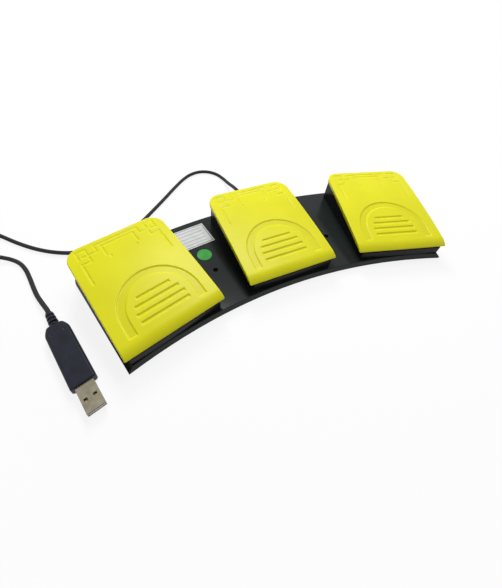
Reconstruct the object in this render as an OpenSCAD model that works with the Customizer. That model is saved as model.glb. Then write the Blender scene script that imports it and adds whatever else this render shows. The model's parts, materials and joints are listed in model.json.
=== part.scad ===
// Triple foot switch: three hinged pedals fanned on a curved base, with a cord and a plug.
// Millimetres. +X runs to the right, +Y to the rear, +Z up.
// The origin is the bottom centre of the base, on the floor between its feet.

/* [Layout] */
// Angle between neighbouring pedals, in degrees
fan_angle = 15.4; // [14.6:0.1:17]
// Radius of the arc that the pedal lips lie on
lip_radius = 390; // [380:1:410]

/* [Pedal cover] */
// Width of one pedal
pedal_w = 82; // [76:1:84]
// Length of one pedal, lip to rear edge
pedal_len = 96; // [94:0.5:100]
// Height of the pad's rear edge above the deck
pad_rise = 26; // [25.8:0.1:28]
// Slope of the pad at its rear edge, in degrees
pad_rear_slope = 5.2; // [4.8:0.1:5.3]
// Radius of the pad's lengthwise crown
crown_r = 800; // [780:10:1100]
// Where the roll of the lip begins, behind the lip
roll_v = 8; // [7:0.5:8.5]
// Radius of the rolled lip
roll_r = 18; // [17:0.5:22]
// Thickness of the lip's front edge
lip_t = 0.5; // [0.4:0.1:1]
// Height of the skirt at the rear edge
skirt_rear = 2.2; // [1.8:0.1:2.8]
// Wall of the cover
cover_wall = 2; // [1.6:0.1:2.2]
// Corner radius in plan at the rear
rear_corner_r = 12; // [9:0.5:15]
// Corner radius in plan at the front
front_corner_r = 1; // [0.6:0.2:3]
// Depth of the moulded relief
relief_depth = 0.6; // [0.3:0.1:0.9]
// Outer width of the grip arch
arch_w = 63; // [56:1:66]
// Width of the arch's band
arch_band = 6; // [4:0.5:7]
// Distance from the lip to the feet of the arch
arch_foot = 10; // [9:0.5:14]
// Straight length of the arch's legs
arch_leg = 10; // [6:0.5:12]
// Width of the grip bars inside the arch
bar_t = 2; // [1.4:0.1:2.6]
// Step from grip bar to grip bar
bar_step = 6; // [5:0.2:6.4]
// Line width of the fret
fret_line = 1.4; // [1:0.1:1.8]
// Width of one cell of the fret
fret_cell = 8; // [7:0.2:8.6]
// Distance of the fret's outer lines from the pad's rear edge
fret_margin = 4.7; // [4:0.1:5.6]
// Distance of the fret's outer lines from the pad's side edges
fret_side = 8.4; // [6:0.2:9]

/* [Pedal frame] */
// Plate that backs the cover
frame_plate = 2.5; // [2:0.1:2.8]
// Wall of the frame's skirt
frame_skirt = 2; // [1.6:0.1:2.6]
// How far the skirt reaches below the housing's rim
skirt_overlap = 3; // [2.6:0.1:3.2]
// Diameter of the cover screws' shanks
cover_screw_d = 2.2; // [2:0.1:2.6]

/* [Hinge] */
// Angle of a full press, in degrees
press_angle = 2.8; // [2:0.1:3]
// Distance of the hinge behind the lip
hinge_v = 10; // [9.8:0.1:11.5]
// Height of the hinge above the housing's floor
hinge_up = 3.3; // [3.2:0.05:3.4]
// Diameter of the hinge pins
pin_d = 3; // [2.6:0.1:3.4]
// Radial running clearance round the pins
pin_clear = 0.05; // [0.02:0.01:0.1]
// Wall round the pin in the housing's block
block_wall = 1.3; // [1:0.1:1.5]
// Wall round the pin in the frame's knuckle
knuckle_wall = 1.4; // [1:0.1:1.5]
// Width of a block and of a knuckle
knuckle_w = 6; // [5:0.5:7]
// Distance of the blocks from the pedal's middle
block_u = 14; // [12:0.5:15]

/* [Housing] */
// Set-back of the housing behind the cover's edge
housing_inset = 3.5; // [3:0.5:4.5]
// Corner radius of the housing in plan at the rear
housing_corner_r = 1.5; // [1:0.5:6]
// Set-back of the housing's front behind the lip
housing_front = 0.3; // [0.1:0.1:0.6]
// Wall of the housing
housing_wall = 2.2; // [1.8:0.1:2.4]
// Floor of the housing
housing_floor = 2; // [1.6:0.1:2.2]
// Gap under the lip
lip_gap = 1.5; // [1.2:0.1:1.8]
// Gap left under the rear edge at full press
press_gap = 0.4; // [0.3:0.1:0.8]
// Gap between frame and housing
frame_clear = 0.8; // [0.6:0.1:1]
// Diameter of the housing screws' shanks
housing_screw_d = 2.6; // [2.2:0.1:3]

/* [Base] */
// Height that the feet stand out below the base
foot_h = 0.8; // [0.6:0.1:1.2]
// Diameter of the feet
foot_d = 12; // [10:0.5:14]
// Height of the base
base_h = 5.4; // [5.2:0.1:5.8]
// Thickness of the deck
deck_wall = 2; // [1.8:0.1:2.1]
// Thickness of the base's rim
rim_wall = 2.4; // [2:0.1:3]
// Thickness of the bottom plate
plate_t = 1.6; // [1.4:0.1:1.7]
// Radius of the base's front edge
base_front_r = 440; // [430:1:450]
// How far the base stands out in front of the middle lip
base_front_step = 3; // [2.6:0.1:5]
// How far the deck reaches behind the pedals
base_rear_step = 3; // [2:0.5:6]
// How far the base stands out past the outer pedals
base_end_step = 0.3; // [0.1:0.1:2]
// Bevel at the ends of the base
end_bevel = 4; // [2:0.2:4.2]
// Draft of the front and rear edges
edge_draft = 1; // [0.4:0.1:1.2]
// Diameter of the screw-down holes through the base
mount_hole_d = 4; // [3.4:0.1:4.6]
// Distance of the screw-down holes in front of the pedals' rear edges
mount_hole_v = 60.5; // [60:0.5:62]
// Width of the blank label
label_w = 35; // [26:1:38]
// Height of the blank label
label_h = 26; // [20:1:28]
// Diameter of the round sticker
sticker_d = 13; // [10:0.5:14]

/* [Switch] */
// Distance of the switch in front of the pedal's rear edge
switch_v = 58; // [56:0.5:59]
// Width of the switch
switch_w = 12.8; // [11:0.2:14]
// Depth of the switch
switch_l = 8; // [7:0.2:9]
// Height of the switch
switch_h = 6.2; // [5.8:0.1:6.4]
// Diameter of the switch button
button_d = 4; // [3:0.1:5]
// Height of the button above the switch
button_h = 1.9; // [1.7:0.1:2]
// Width of the switch board
board_w = 34; // [32:0.5:36]
// Thickness of the switch board
board_t = 1.6; // [1.2:0.1:1.7]
// Height of the bosses under the board
board_boss_h = 1; // [0.8:0.1:1.1]

/* [Return spring] */
// Distance of the spring in front of the pedal's rear edge
spring_v = 26; // [24:0.5:30]
// Outer diameter of the spring
spring_d = 10; // [9:0.5:11]
// Diameter of the spring wire
wire_d = 1; // [0.8:0.1:1.1]
// Turns of the spring
spring_turns = 6; // [4:1:7]

/* [Cord] */
// Diameter of the cord
cord_d = 3.6; // [3.4:0.1:3.7]
// Turns of the coil in each layer
coil_turns = 2.25; // [2.25:1:3.25]
// Inner radius of the coil
coil_in_r = 14.6; // [14:0.1:15]
// Step from turn to turn
coil_step = 4.7; // [4.6:0.1:4.8]
// Step from layer to layer
coil_rise = 4.2; // [4.2:0.1:4.4]
// Thickness of the tie round the coil
tie_t = 0.8; // [0.6:0.1:1]
// Diameter of the strain relief at the housing
gland_d = 7; // [6:0.2:7.6]
// Length of the strain relief behind the housing
gland_len = 18; // [18:1:24]

/* [Plug] */
// Width of the plug's metal shell
shell_w = 12; // [11.9:0.1:12.1]
// Thickness of the metal shell
shell_t = 4.5; // [4.4:0.1:4.6]
// Length of the metal shell in front of the body
shell_len = 18.5; // [17:0.5:19]
// Sheet of the metal shell
shell_wall = 0.35; // [0.3:0.05:0.4]
// Width of the plug's body
plug_w = 17; // [15.5:0.5:18]
// Thickness of the plug's body
plug_t = 8.5; // [8:0.1:9]
// Length of the plug's body
plug_len = 52; // [48:1:58]
// Length of the ribbed boot
boot_len = 14; // [12:1:18]

/* [Hidden] */

// Round shapes, and a small overlap for cuts
$fn = 64;
big_fn = 720;
cut = 1;
// Gap between faces that are screwed together
fit_gap = 0.05;
// Gap between parts that move past each other
move_gap = 0.35;

// Colours as photographed
yellow = [0.92, 0.90, 0.24];
black = [0.14, 0.15, 0.15];
plug_black = [0.20, 0.21, 0.25];
steel = [0.70, 0.68, 0.62];
green = [0.33, 0.62, 0.33];
white = [0.88, 0.89, 0.88];
board_green = [0.10, 0.35, 0.18];
rubber = [0.10, 0.10, 0.10];

// Levels of the base
deck_z = foot_h + base_h;
floor_z = deck_z + housing_floor;
cavity_z = deck_z - deck_wall;
plate_z = foot_h + plate_t;

// The pad's lengthwise curve: a crown arc that runs into the lip's roll arc
pad_rear_z = deck_z + pad_rise;
crown_v = pedal_len + crown_r * sin(pad_rear_slope);
crown_z = pad_rear_z - crown_r * cos(pad_rear_slope);
roll_slope = asin((crown_v - roll_v) / crown_r);
roll_centre_v = roll_v + roll_r * sin(roll_slope);
roll_centre_z = crown_z + (crown_r - roll_r) * cos(roll_slope);
function arc_z(v, centre_v, centre_z, r) = centre_z + sqrt(pow(r, 2) - pow(v - centre_v, 2));
function join_v(inset) = roll_v + inset * sin(roll_slope);
function pad_z(v, inset = 0) = v > join_v(inset)
    ? arc_z(v, crown_v, crown_z, crown_r - inset)
    : arc_z(v, roll_centre_v, roll_centre_z, roll_r - inset);
function pad_slope(v) = asin((crown_v - v) / crown_r);

// The cover's lower edge, a straight line from lip to rear
lip_z = pad_z(0) - lip_t;
rim_rise = (pad_rear_z - skirt_rear - lip_z) / pedal_len;
function rim_z(v) = lip_z + rim_rise * v;

// The hinge, and where a pressed point goes
hinge_z = floor_z + hinge_up;
function pressed(v, z) = [
    hinge_v + (v - hinge_v) * cos(press_angle) + (z - hinge_z) * sin(press_angle),
    hinge_z - (v - hinge_v) * sin(press_angle) + (z - hinge_z) * cos(press_angle)
];
lip_pressed = pressed(0, lip_z);
function pressed_rim_z(v) = lip_pressed[1] + (v - lip_pressed[0]) * tan(atan(rim_rise) - press_angle);
function press_drop(v) = (v - hinge_v) * sin(press_angle);

// The housing and the frame inside it
housing_w = pedal_w - 2 * housing_inset;
housing_rear = pedal_len - housing_inset;
well_w = housing_w - 2 * housing_wall;
well_front = housing_front + housing_wall;
well_rear = housing_rear - housing_wall;
well_corner_r = max(housing_corner_r - housing_wall, 1);
frame_w = well_w - 2 * frame_clear;
frame_front = well_front + frame_clear;
frame_rear = well_rear - frame_clear - (pad_rear_z - hinge_z) * sin(press_angle);
frame_corner_r = max(well_corner_r - frame_clear, 0.8);
wall_front_z = lip_z - lip_gap;
wall_rear_z = pressed_rim_z(housing_rear) - press_gap;
wall_rise = (wall_rear_z - wall_front_z) / (housing_rear - housing_front);
function wall_z(v) = wall_front_z + wall_rise * (v - housing_front);
function skirt_z(v) = wall_z(v) - skirt_overlap;
frame_inset = cover_wall + fit_gap;
plate_inset = frame_inset + frame_plate;

// The base outline: a rear arc, a flatter front arc and two end lines along the outer pedals
base_rear_r = lip_radius + pedal_len + base_rear_step;
front_centre_y = lip_radius - base_front_step - base_front_r;
end_u = pedal_w / 2 + base_end_step;
end_dot = front_centre_y * cos(fan_angle);
end_rest = end_u * end_u + 2 * end_u * front_centre_y * sin(fan_angle) + pow(front_centre_y, 2);
end_corner_r = end_dot + sqrt(pow(end_dot, 2) - end_rest + pow(base_front_r, 2));
front_y = end_corner_r * cos(fan_angle) - end_u * sin(fan_angle);
rear_y = base_rear_r + edge_draft;
mid_y = (front_y + rear_y) / 2;
cavity_end = end_u - max(end_bevel, rim_wall) - rim_wall / 2;

// Places on a pedal, [across, behind the lip]
switch_at_v = pedal_len - switch_v;
spring_at_v = pedal_len - spring_v;
frame_room = frame_w / 2 - frame_skirt;
housing_boss_d = housing_screw_d + 3.6;
housing_screw_u = frame_room - housing_boss_d / 2 - 0.9;
cover_screw_u = frame_room - 8;
cover_screw_front = 28;
cover_screw_back = 36;
cover_screw_at = [for (u = [-cover_screw_u, cover_screw_u])
    for (v = [cover_screw_front, pedal_len - cover_screw_back]) [u, v]];
housing_screw_at = [for (u = [-housing_screw_u, housing_screw_u])
    for (v = [hinge_v + 12, well_rear - 9.8]) [u, v]];
stop_at = [for (u = [-17, 17]) [u, well_rear - 8]];
board_l = 20;
board_screw_at = [[-13, -6.5], [13, -6.5], [0, 7]];
socket_at = [11, 6];
wire_at = 13;
wire_v = switch_at_v + board_l / 2 - 3;
cover_screw_head = [6.4, 1.5];
housing_screw_head = [5, 1.4];
housing_boss_h = 4.5;
board_screw_d = 2;
board_screw_head = [3.8, 1.3];

// Levels inside a housing
board_z = floor_z + board_boss_h;
switch_z = board_z + board_t;
button_z = switch_z + switch_h + button_h;
button_travel = press_drop(switch_at_v);
button_slot = 4.4;
spring_seat_z = pad_z(spring_at_v, plate_inset) - 3;
spring_peg_d = spring_d - 2 * wire_d - 0.8;
spring_peg_h = 2.2;
stop_d = 8;
stop_pad_t = 2.5;
stop_z = floor_z + 7.3;
function stop_boss_z(v) = stop_z + press_drop(v) + stop_d / 2 * sin(press_angle) + move_gap;
// Gap between the lever's actuator and the button at rest
press_play = 0.2;

// Places under the base, [angle in fans, behind the lip arc]
plate_screw_at = [for (a = [-1.08, -0.5, 0.5, 1.08]) for (v = [16, pedal_len - 17]) [a, v]];
plate_screw_d = 2.4;
plate_screw_head = 4.6;
plate_screw_len = 4.4;
plate_boss_d = 6;
foot_at = [for (a = [-1.2, 0, 1.2]) for (v = [12, pedal_len - 10]) [a, v]];
foot_recess = 0.7;
plate_clear = 0.2;
hole_clear = 0.3;
sleeve_wall = 2;
mount_at_v = pedal_len - mount_hole_v;
label_gap = 3.5;
label_v = pedal_len - label_h - label_gap;
sticker_gap = 5;
sticker_v = label_v - sticker_gap - sticker_d / 2;
sheet_t = 0.2;

// The cord: exit, coil, plug, and the points of its free runs
gland_x = 4;
gland_end_d = cord_d + 1.6;
gland_flange = [gland_d + 1.4, 1.5];
gland_z = floor_z + gland_flange[0] / 2 + 0.3;
gland_ribs = 5;
cord_r = cord_d / 2;
coil_at = [-266, 106];
coil_layers = 4;
coil_out_r = coil_in_r + coil_turns * coil_step;
coil_z = tie_t + 0.2 + cord_r;
coil_top_z = coil_z + (coil_layers - 1) * coil_rise;
tie_w = 9;
plug_at = [-188, 3];
plug_heading = -74;
plug_z = plug_t / 2;
lead_route = [
    [gland_x, lip_radius + housing_rear + gland_len - mid_y, gland_z],
    [4, 82, 12.4], [4.2, 92, 10.4], [4.6, 102, 7.1], [5, 112, 4.2], [4.6, 122, 2.4], [1.5, 132.5, 1.9],
    [-5.5, 140.5, 1.9], [-15.5, 144.5, 1.9], [-27, 143, 1.9], [-38.5, 136.5, 1.9], [-52, 125, 1.9],
    [-68, 110, 1.9], [-85, 94.5, 1.9], [-101, 80.5, 1.9], [-116, 70, 1.9], [-132, 63, 1.9],
    [-149, 60.5, 1.9], [-166, 62.5, 1.9], [-182, 69.5, 1.9], [-197, 80, 1.9], [-211, 93, 1.9],
    [-224, 107, 1.9], [-237, 120.5, 2.3], [-250, 129, 2.8],
    [coil_at[0] + cord_d, coil_at[1] + coil_out_r, coil_z]
];
tail_route = [
    [coil_at[0] + cord_d, coil_at[1] - coil_out_r, coil_top_z],
    [-252, 80.8, 14.9], [-242, 80.6, 11.6], [-232, 79.6, 7.2], [-223, 77, 3.8], [-215, 72.5, 2.2],
    [-208.5, 65.5, 1.9], [-204, 56, 1.9], [-201, 45, 1.9], [-198.5, 34, 2], [-195.8, 24, 2.6],
    [-192, 14, 3.7], [-189.2, 7.2, 4.2],
    [plug_at[0], plug_at[1], plug_z]
];

// Frames of reference
module at_arc() {
    translate([0, -mid_y, 0]) children();
}
module at_pedal(k) {
    at_arc() rotate([0, 0, -k * fan_angle]) translate([0, lip_radius, 0]) children();
}
module at_fan(a, v) {
    at_arc() rotate([0, 0, -a * fan_angle]) translate([0, lip_radius + v, 0]) children();
}
module at_pad(u, v) {
    translate([u, v, pad_z(v)]) rotate([pad_slope(v), 0, 0]) children();
}
module at_plug() {
    translate([plug_at[0], plug_at[1], plug_z]) rotate([0, 0, plug_heading]) children();
}

// A side view in [v, z], carried across the pedal
module across(w) {
    translate([-w / 2, 0, 0]) rotate([90, 0, 90]) linear_extrude(w) children();
}
// A cylinder across the pedal, from one side place to another
module rod_across(u0, u1, d) {
    translate([u0, 0, 0]) rotate([0, 90, 0]) cylinder(d = d, h = u1 - u0);
}

// A plan with its own corner radii at the front and the rear
module plan(w, front, rear, front_r, rear_r) {
    translate([-w / 2, front + front_r]) square([w, rear - front - front_r - rear_r]);
    translate([front_r - w / 2, front]) square([w - 2 * front_r, (rear - front) / 2]);
    translate([rear_r - w / 2, (rear + front) / 2]) square([w - 2 * rear_r, (rear - front) / 2]);
    for (s = [-1, 1]) {
        translate([s * (w / 2 - front_r), front + front_r]) circle(front_r);
        translate([s * (w / 2 - rear_r), rear - rear_r]) circle(rear_r);
    }
}

// The pad's side view, set in from its surface
roll_steps = 6;
crown_steps = 14;
function between(a, b, steps) = [for (i = [0:steps]) a + (b - a) * i / steps];
module pad_section(inset) {
    end_v = pedal_len + cut;
    roll = [for (v = between(inset, join_v(inset), roll_steps)) [v, pad_z(v, inset)]];
    crown_at = between(join_v(inset), end_v, crown_steps);
    crown = [for (v = crown_at) if (v > join_v(inset)) [v, pad_z(v, inset)]];
    polygon(concat([[inset, 0]], roll, crown, [[end_v, 0]]));
}
// Everything above a sloping line
module above(z0, z1) {
    polygon([[-cut, z0], [pedal_len + cut, z1], [pedal_len + cut, 3 * pad_rear_z], [-cut, 3 * pad_rear_z]]);
}

// The moulded relief, seen from above: an arch, grip bars inside it, and a key fret at the rear
module arch_ring() {
    r = arch_w / 2;
    difference() {
        circle(r);
        circle(r - arch_band);
        translate([-r - cut, -r - cut]) square([2 * (r + cut), r + cut]);
    }
}
// Square-ended lines from point to point, each along one axis
module fret_run(route) {
    for (i = [0:len(route) - 2]) {
        low = [min(route[i][0], route[i + 1][0]), min(route[i][1], route[i + 1][1])];
        high = [max(route[i][0], route[i + 1][0]), max(route[i][1], route[i + 1][1])];
        translate(low - [fret_line, fret_line] / 2) square(high - low + [fret_line, fret_line]);
    }
}
bar_v0 = 14;
bar_count = 4;
dimple_at = [11, 75.5];
dimple_d = 2;
module relief() {
    arch_v = arch_foot + arch_leg;
    translate([0, arch_v]) arch_ring();
    for (s = [-1, 1]) {
        translate([s * (arch_w - arch_band) / 2 - arch_band / 2, arch_foot])
            square([arch_band, arch_leg + fit_gap]);
    }
    for (i = [0:bar_count - 1]) {
        v = bar_v0 + i * bar_step;
        half = sqrt(pow(arch_w / 2 - 2 * arch_band, 2) - pow(max(v + bar_t - arch_v, 0), 2));
        translate([-half, v]) square([2 * half, bar_t]);
    }
    u3 = pedal_w / 2 - fret_side;
    v3 = pedal_len - fret_margin;
    function cells(route) = [for (p = route) [u3, v3] - fret_cell * p];
    for (m = [0, 1]) {
        mirror([m, 0]) {
            fret_run(cells([[u3 / fret_cell, 0], [1.8, 0], [1.8, 0.8], [0.35, 0.8]]));
            fret_run(cells([[0.9, 0.8], [0.9, 0], [0, 0], [0, 0.95]]));
            fret_run(cells([[0.9, 1.15], [0.9, 1.6], [0, 1.6], [0, 4]]));
            fret_run(cells([[u3 / fret_cell, 0.4], [2.4, 0.4], [2.4, 1.6]]));
        }
    }
    for (s = [-1, 1]) {
        translate([s * dimple_at[0], dimple_at[1]]) circle(d = dimple_d);
    }
}
module relief_cut() {
    difference() {
        linear_extrude(2 * pad_rear_z) relief();
        across(pedal_w + 2 * cut) pad_section(relief_depth);
    }
}

// Yellow pedal cover
module cover_blank(inset) {
    intersection() {
        across(pedal_w + 2 * cut) pad_section(inset);
        linear_extrude(2 * pad_rear_z)
            plan(pedal_w - 2 * inset, inset, pedal_len - inset,
                max(front_corner_r - inset, 0.5), max(rear_corner_r - inset, 1));
    }
}
module pedal_cover(k) {
    boss_d = cover_screw_d + 2.8;
    color(yellow) at_pedal(k) difference() {
        union() {
            difference() {
                intersection() {
                    cover_blank(0);
                    across(pedal_w + 2 * cut) above(rim_z(-cut), rim_z(pedal_len + cut));
                }
                cover_blank(cover_wall);
            }
            for (p = cover_screw_at) {
                at_pad(p[0], p[1]) translate([0, 0, -plate_inset + fit_gap])
                    cylinder(d = boss_d, h = frame_plate + 0.5);
            }
        }
        relief_cut();
        for (p = cover_screw_at) {
            at_pad(p[0], p[1]) translate([0, 0, -plate_inset - cut])
                cylinder(d = cover_screw_d, h = plate_inset + cut - 1);
        }
    }
}
module cover_screws(k) {
    color(steel) at_pedal(k) for (p = cover_screw_at) {
        at_pad(p[0], p[1]) translate([0, 0, -plate_inset - fit_gap]) {
            translate([0, 0, -cover_screw_head[1]])
                cylinder(d = cover_screw_head[0], h = cover_screw_head[1]);
            cylinder(d = cover_screw_d - 2 * fit_gap, h = plate_inset - 1.2);
        }
    }
}

// Black pedal frame: the lever under the cover, with hinge knuckles, heels, actuator and seats
module under_plate() {
    intersection() {
        children();
        across(pedal_w) pad_section(frame_inset + frame_plate / 2);
    }
}
module pedal_frame(k) {
    knuckle_u = block_u + knuckle_w + 1.5;
    knuckle_d = pin_d + 2 * knuckle_wall;
    hole_d = cover_screw_d + 3.2;
    color(black) at_pedal(k) difference() {
        union() {
            difference() {
                intersection() {
                    linear_extrude(2 * pad_rear_z)
                        plan(frame_w, frame_front, frame_rear, 0.8, frame_corner_r);
                    across(pedal_w) pad_section(frame_inset);
                    across(pedal_w) above(skirt_z(-cut), skirt_z(pedal_len + cut));
                }
                intersection() {
                    linear_extrude(2 * pad_rear_z)
                        plan(2 * frame_room, frame_front - cut, frame_rear - frame_skirt,
                            0.5, max(frame_corner_r - frame_skirt, 0.5));
                    across(pedal_w) pad_section(plate_inset);
                }
            }
            for (s = [-1, 1]) {
                translate([s * (knuckle_u + knuckle_w / 2) - knuckle_w / 2, 0, 0]) {
                    translate([0, hinge_v, hinge_z]) rod_across(0, knuckle_w, knuckle_d);
                    under_plate() translate([0, hinge_v - knuckle_d / 2, hinge_z])
                        cube([knuckle_w, knuckle_d, pad_rear_z]);
                    heel_v = frame_front + move_gap;
                    under_plate() translate([0, heel_v, floor_z + move_gap])
                        cube([knuckle_w, hinge_v - heel_v, pad_rear_z]);
                }
            }
            under_plate() translate([-3, switch_at_v - 2.5, button_z + press_play]) cube([6, 5, pad_rear_z]);
            under_plate() translate([0, spring_at_v, spring_seat_z])
                cylinder(d = spring_d + 2, h = pad_rear_z);
            translate([0, spring_at_v, spring_seat_z - spring_peg_h])
                cylinder(d = spring_peg_d, h = spring_peg_h + 0.5);
            for (p = stop_at) {
                under_plate() translate([p[0], p[1], stop_boss_z(p[1])])
                    cylinder(d = stop_d - 2, h = pad_rear_z);
            }
        }
        translate([0, hinge_v, hinge_z]) rod_across(-pedal_w / 2, pedal_w / 2, pin_d + 2 * pin_clear);
        for (p = cover_screw_at) {
            at_pad(p[0], p[1]) translate([0, 0, -plate_inset - cut]) cylinder(d = hole_d, h = plate_inset);
        }
    }
}

// Steel stub pins: pressed into the housing's blocks, free in the frame's knuckles
module hinge_pins(k) {
    pin_len = 2 * knuckle_w + 1.5;
    color(steel) at_pedal(k) for (s = [-1, 1]) {
        translate([s * (block_u + pin_len / 2) - pin_len / 2, hinge_v, hinge_z])
            rod_across(0, pin_len, pin_d);
    }
}

// Tubes along a path: unit vectors, rings square to the path, and triangles between them
function unit(a) = a / norm(a);
function heading(path, i) = unit(path[min(i + 1, len(path) - 1)] - path[max(i - 1, 0)]);
function ring(p, t, r, sides) = let (side = unit(cross([0, 0, 1], t)), up = cross(t, side))
    [for (j = [0:sides - 1]) p + r * (cos(360 * j / sides) * side + sin(360 * j / sides) * up)];
module tube(path, r, sides) {
    last = len(path) - 1;
    points = [for (i = [0:last]) for (q = ring(path[i], heading(path, i), r, sides)) q];
    walls = [for (i = [0:last - 1]) for (j = [0:sides - 1])
        let (a = i * sides + j, b = i * sides + (j + 1) % sides)
        for (f = [[a, a + sides, b], [b, a + sides, b + sides]]) f];
    start_cap = [for (j = [1:sides - 2]) [0, j, j + 1]];
    end_cap = [for (j = [1:sides - 2]) [last * sides, last * sides + j + 1, last * sides + j]];
    polyhedron(points = points, faces = concat(walls, start_cap, end_cap));
}
// A smooth curve through hand-chosen points
function blend4(a, b, c, d, t) = 0.5 * (2 * b + (c - a) * t + (2 * a - 5 * b + 4 * c - d) * t * t
    + (3 * b - a - 3 * c + d) * t * t * t);
function smooth(route, steps) = let (last = len(route) - 1) concat(
    [for (i = [0:last - 1]) for (j = [0:steps - 1])
        blend4(route[max(i - 1, 0)], route[i], route[i + 1], route[min(i + 2, last)], j / steps)],
    [route[last]]);
function least_gap(path, skip, d) = min([for (i = [0:len(path) - 1]) for (j = [i + skip:1:len(path) - 1])
    norm(path[i] - path[j])]) - d;
function path_len(path, i = 0) = i > len(path) - 2 ? 0 : norm(path[i + 1] - path[i]) + path_len(path, i + 1);

// Return spring, with a closed turn at each end
spring_len = spring_seat_z - floor_z - 2 * fit_gap;
spring_close = 1.6 * wire_d;
function spring_z(t) = t < 1 ? t * spring_close
    : t > spring_turns - 1 ? spring_len - wire_d - (spring_turns - t) * spring_close
    : spring_close + (spring_len - wire_d - 2 * spring_close) * (t - 1) / (spring_turns - 2);
spring_path = [for (i = [0:8 * spring_turns]) let (t = i / 8, r = (spring_d - wire_d) / 2)
    [r * cos(360 * t), r * sin(360 * t), spring_z(t)]];
module return_spring(k) {
    color(steel) at_pedal(k) translate([0, spring_at_v, floor_z + fit_gap + wire_d / 2])
        tube(spring_path, wire_d / 2, 6);
}

// Black pedal housing: a tray with a sloping rim, hinge blocks, bosses, posts and a spring peg
module housing(k) {
    block_d = pin_d + 2 * block_wall;
    color(black) at_pedal(k) difference() {
        union() {
            difference() {
                intersection() {
                    translate([0, 0, deck_z]) linear_extrude(2 * pad_rear_z)
                        plan(housing_w, housing_front, housing_rear, 0.8, housing_corner_r);
                    across(pedal_w) polygon([
                        [0, 0], [pedal_len, 0], [pedal_len, wall_z(pedal_len)], [0, wall_z(0)]
                    ]);
                }
                translate([0, 0, floor_z]) linear_extrude(2 * pad_rear_z)
                    plan(well_w, well_front, well_rear, 0.5, well_corner_r);
            }
            for (s = [-1, 1]) {
                translate([s * (block_u + knuckle_w / 2) - knuckle_w / 2, 0, 0]) {
                    translate([0, hinge_v, hinge_z]) rod_across(0, knuckle_w, block_d);
                    translate([0, hinge_v - block_d / 2, floor_z - 0.5])
                        cube([knuckle_w, block_d, hinge_z - floor_z + 0.5]);
                }
            }
            for (p = housing_screw_at) {
                translate([p[0], p[1], floor_z - 0.5]) cylinder(d = housing_boss_d, h = housing_boss_h + 0.5);
            }
            for (p = board_screw_at) {
                translate([p[0], switch_at_v + p[1], floor_z - 0.5])
                    cylinder(d = board_screw_d + 3, h = board_boss_h + 0.5);
            }
            translate([0, spring_at_v, floor_z - 0.5]) cylinder(d = spring_peg_d, h = spring_peg_h + 0.5);
            for (p = stop_at) {
                translate([p[0], p[1], floor_z - 0.5])
                    cylinder(d = stop_d, h = stop_z - stop_pad_t - floor_z + 0.5);
            }
        }
        translate([0, hinge_v, hinge_z]) rod_across(-well_w / 2 + cut, well_w / 2 - cut, pin_d);
        for (p = housing_screw_at) {
            translate([p[0], p[1], deck_z - cut])
                cylinder(d = housing_screw_d, h = housing_floor + cut + housing_boss_h - 1);
        }
        for (p = board_screw_at) {
            translate([p[0], switch_at_v + p[1], deck_z + 0.4])
                cylinder(d = board_screw_d, h = housing_floor + board_boss_h);
        }
        for (s = [-1, 1]) {
            translate([s * wire_at, wire_v, deck_z - cut]) wire_hole(housing_floor + 2 * cut);
        }
        if (k == 0) {
            translate([gland_x, well_rear - cut, gland_z]) rotate([-90, 0, 0])
                cylinder(d = gland_d, h = housing_wall + 2 * cut);
        }
    }
}
module wire_hole(h) {
    translate([-2.6, -1.2, 0]) cube([5.2, 2.4, h]);
}
module housing_screws() {
    color(steel) for (k = [-1:1]) for (p = housing_screw_at)
        at_pedal(k) translate([p[0], p[1], cavity_z - fit_gap]) {
        translate([0, 0, -housing_screw_head[1]])
            cylinder(d = housing_screw_head[0], h = housing_screw_head[1]);
        cylinder(d = housing_screw_d - 2 * fit_gap, h = deck_wall + housing_floor + housing_boss_h - 1.4);
    }
}
module stop_pads() {
    color(rubber) for (k = [-1:1]) for (p = stop_at) {
        at_pedal(k) translate([p[0], p[1], stop_z - stop_pad_t]) cylinder(d = stop_d, h = stop_pad_t);
    }
}

// Switch board, switch with its button's slot, and the button
module switch_board(k) {
    color(board_green) at_pedal(k) translate([0, switch_at_v, board_z]) difference() {
        translate([-board_w / 2, -board_l / 2, 0]) cube([board_w, board_l, board_t]);
        for (p = board_screw_at) {
            translate([p[0], p[1], -cut]) cylinder(d = board_screw_d + 0.2, h = board_t + 2 * cut);
        }
    }
}
module board_screws() {
    color(steel) for (k = [-1:1]) for (p = board_screw_at)
        at_pedal(k) translate([p[0], switch_at_v + p[1], switch_z]) {
        cylinder(d = board_screw_head[0], h = board_screw_head[1]);
        translate([0, 0, -board_t - 2]) cylinder(d = board_screw_d - 2 * fit_gap, h = board_t + 2 + 0.2);
    }
}
module switch_body(k) {
    color(black) at_pedal(k) translate([0, switch_at_v, switch_z]) difference() {
        translate([-switch_w / 2, -switch_l / 2, 0]) cube([switch_w, switch_l, switch_h]);
        translate([0, 0, switch_h - button_slot]) cylinder(d = button_d + 0.3, h = button_slot + cut);
    }
}
module switch_button(k) {
    button_len = button_h + button_slot - button_travel - 0.6;
    color(white) at_pedal(k) translate([0, switch_at_v, button_z - button_len]) {
        cylinder(d = button_d, h = button_len - 0.5);
        translate([0, 0, button_len - 0.5 - fit_gap])
            cylinder(d1 = button_d, d2 = button_d - 1, h = 0.5 + fit_gap);
    }
}

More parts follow.
